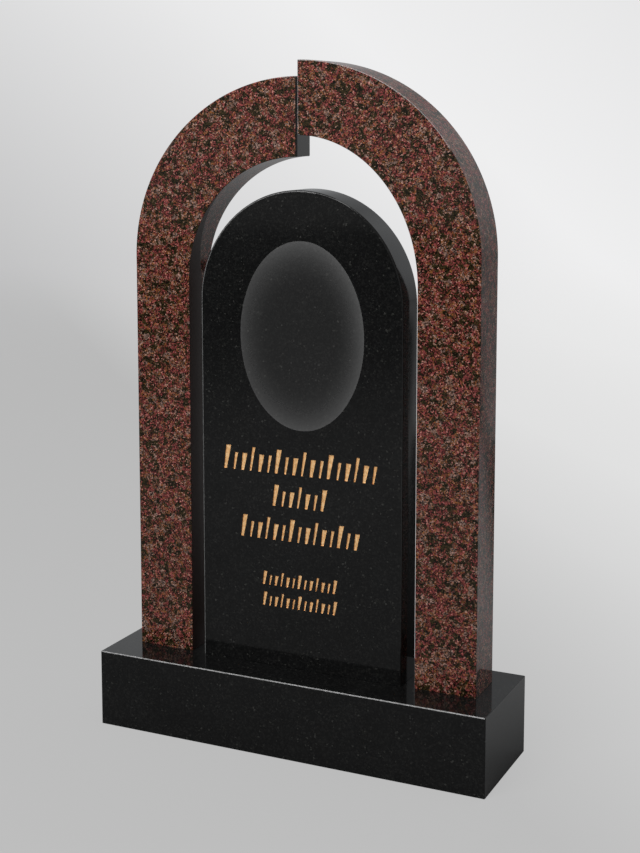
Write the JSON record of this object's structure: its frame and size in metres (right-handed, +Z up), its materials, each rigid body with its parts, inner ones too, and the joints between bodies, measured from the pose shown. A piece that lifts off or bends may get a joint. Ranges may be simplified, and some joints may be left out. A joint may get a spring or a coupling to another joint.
{
  "type": "arched granite headstone",
  "caption": "Polished black granite stele with a round head, standing on a plinth under a red granite arch made of two halves with a step at the crown.",
  "frame": {"origin": "on the ground, under the middle of the plinth", "axes": "+Z up, -Y is the front, where the inscription is, +X to the right of someone facing it"},
  "size_m": [0.7, 0.2, 1.1383],
  "materials": {
    "plinth_granite": "polished black granite",
    "stele_granite": "polished black granite, gilded in the strokes",
    "arch_left_granite": "polished red-brown granite",
    "arch_right_granite": "polished red-brown granite"
  },
  "bodies": {
    "root": {"plinth": "plinth_granite", "stele": "stele_granite", "arch_left": "arch_left_granite", "arch_right": "arch_right_granite"}
  },
  "joints": []
}
